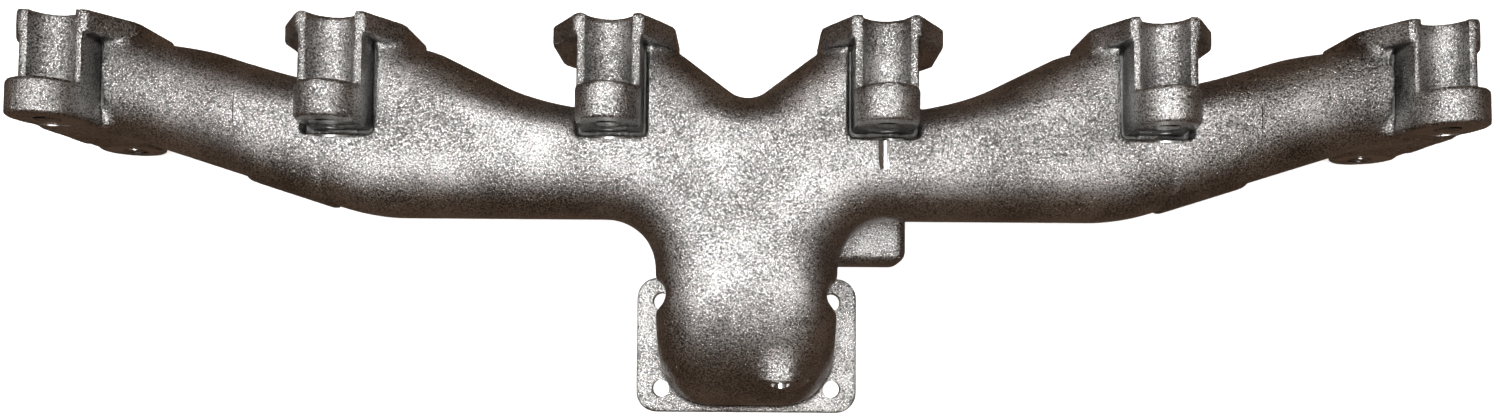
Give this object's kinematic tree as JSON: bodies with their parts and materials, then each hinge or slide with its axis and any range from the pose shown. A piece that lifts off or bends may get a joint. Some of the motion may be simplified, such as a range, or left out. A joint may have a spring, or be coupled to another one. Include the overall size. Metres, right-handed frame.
{
  "type": "exhaust manifold",
  "caption": "Cast-iron log exhaust manifold for an in-line turbo-diesel engine, with bolted port flanges, slip-jointed end castings and a divided turbocharger flange.",
  "frame": {"origin": "centre of the turbocharger flange's four bolt holes, on its mating face", "axes": "+X along the engine from front to rear, +Y towards the cylinder head, +Z away from the turbocharger"},
  "size_m": [0.659, 0.174, 0.111],
  "materials": {
    "centre_iron": "as-cast, grainy, semi-bright",
    "end_iron": "as-cast, grainy, semi-bright",
    "flange_iron": "as-cast with machined faces",
    "machined_iron": "turned",
    "ring_steel": "ground",
    "plug_steel": "dark"
  },
  "bodies": {
    "centre_casting": {"port_flange_2": "centre_iron", "port_flange_3": "centre_iron", "port_flange_4": "centre_iron", "port_flange_5": "centre_iron", "upper_boss_2": "centre_iron", "upper_boss_3": "centre_iron", "upper_boss_4": "centre_iron", "upper_boss_5": "centre_iron", "lower_boss_2": "centre_iron", "lower_boss_3": "centre_iron", "lower_boss_4": "centre_iron", "lower_boss_5": "centre_iron", "runner_2": "centre_iron", "runner_3": "centre_iron", "runner_4": "centre_iron", "runner_5": "centre_iron", "front_log": "centre_iron", "rear_log": "centre_iron", "plenum": "centre_iron", "collector_elbow": "centre_iron", "turbo_flange": "flange_iron", "front_socket": "centre_iron", "rear_socket": "centre_iron", "support_boss": "centre_iron", "sensor_boss": "centre_iron", "sensor_plug": "plug_steel"},
    "front_end_casting": {"port_flange_1": "end_iron", "upper_boss_1": "end_iron", "lower_boss_1": "end_iron", "runner_1": "end_iron", "front_spigot": "machined_iron", "front_inner_seal_ring": "ring_steel", "front_outer_seal_ring": "ring_steel"},
    "rear_end_casting": {"port_flange_6": "end_iron", "upper_boss_6": "end_iron", "lower_boss_6": "end_iron", "runner_6": "end_iron", "rear_spigot": "machined_iron", "rear_inner_seal_ring": "ring_steel", "rear_outer_seal_ring": "ring_steel"}
  },
  "joints": [
    {"name": "front_slip_joint", "type": "slide", "parent": "centre_casting", "child": "front_end_casting", "axis": [-1, 0, 0], "range_m": [0, 0.003]},
    {"name": "rear_slip_joint", "type": "slide", "parent": "centre_casting", "child": "rear_end_casting", "axis": [1, 0, 0], "range_m": [0, 0.003]}
  ]
}
